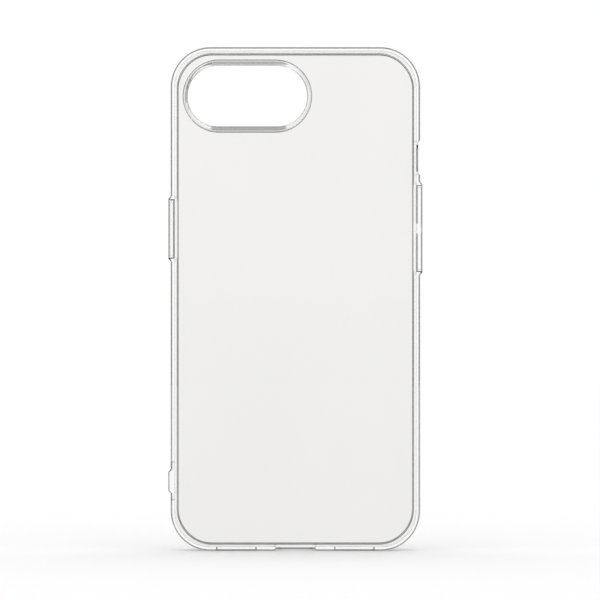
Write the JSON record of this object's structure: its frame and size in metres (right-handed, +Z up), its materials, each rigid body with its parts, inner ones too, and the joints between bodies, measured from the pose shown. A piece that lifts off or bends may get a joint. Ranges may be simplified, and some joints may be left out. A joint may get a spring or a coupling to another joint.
{
  "type": "phone case",
  "caption": "Clear fitted phone case: hard back panel in a soft frame, bevelled camera ring, moving side-button and volume covers, port and speaker openings, strap bar.",
  "frame": {"origin": "centre of the back panel's outer face", "axes": "case stands upright: +Z up the case, +Y from the back face towards the screen side, +X to the right as the back is seen"},
  "size_m": [0.0752, 0.0112, 0.1492],
  "materials": {
    "clear_hard_plastic": "clear, polished",
    "clear_soft_plastic": "clear, glossy, flexible"
  },
  "bodies": {
    "case": {"bumper_frame": "clear_soft_plastic", "back_panel": "clear_hard_plastic", "camera_ring": "clear_hard_plastic", "side_button_web": "clear_soft_plastic", "volume_button_web": "clear_soft_plastic"},
    "side_button": {"side_button_cover": "clear_soft_plastic"},
    "volume_button": {"volume_button_cover": "clear_soft_plastic"}
  },
  "joints": [
    {"name": "side_button_press", "type": "slide", "parent": "case", "child": "side_button", "axis": [1, 0, 0], "range_m": [0, 0.00028], "stiffness_N_per_m": 20},
    {"name": "volume_button_rock", "type": "hinge", "parent": "case", "child": "volume_button", "pos_m": [0.0363, 0.00515, 0.0209], "axis": [0, 1, 0], "range_deg": [-2, 2], "stiffness_Nm_per_rad": 0.001}
  ]
}
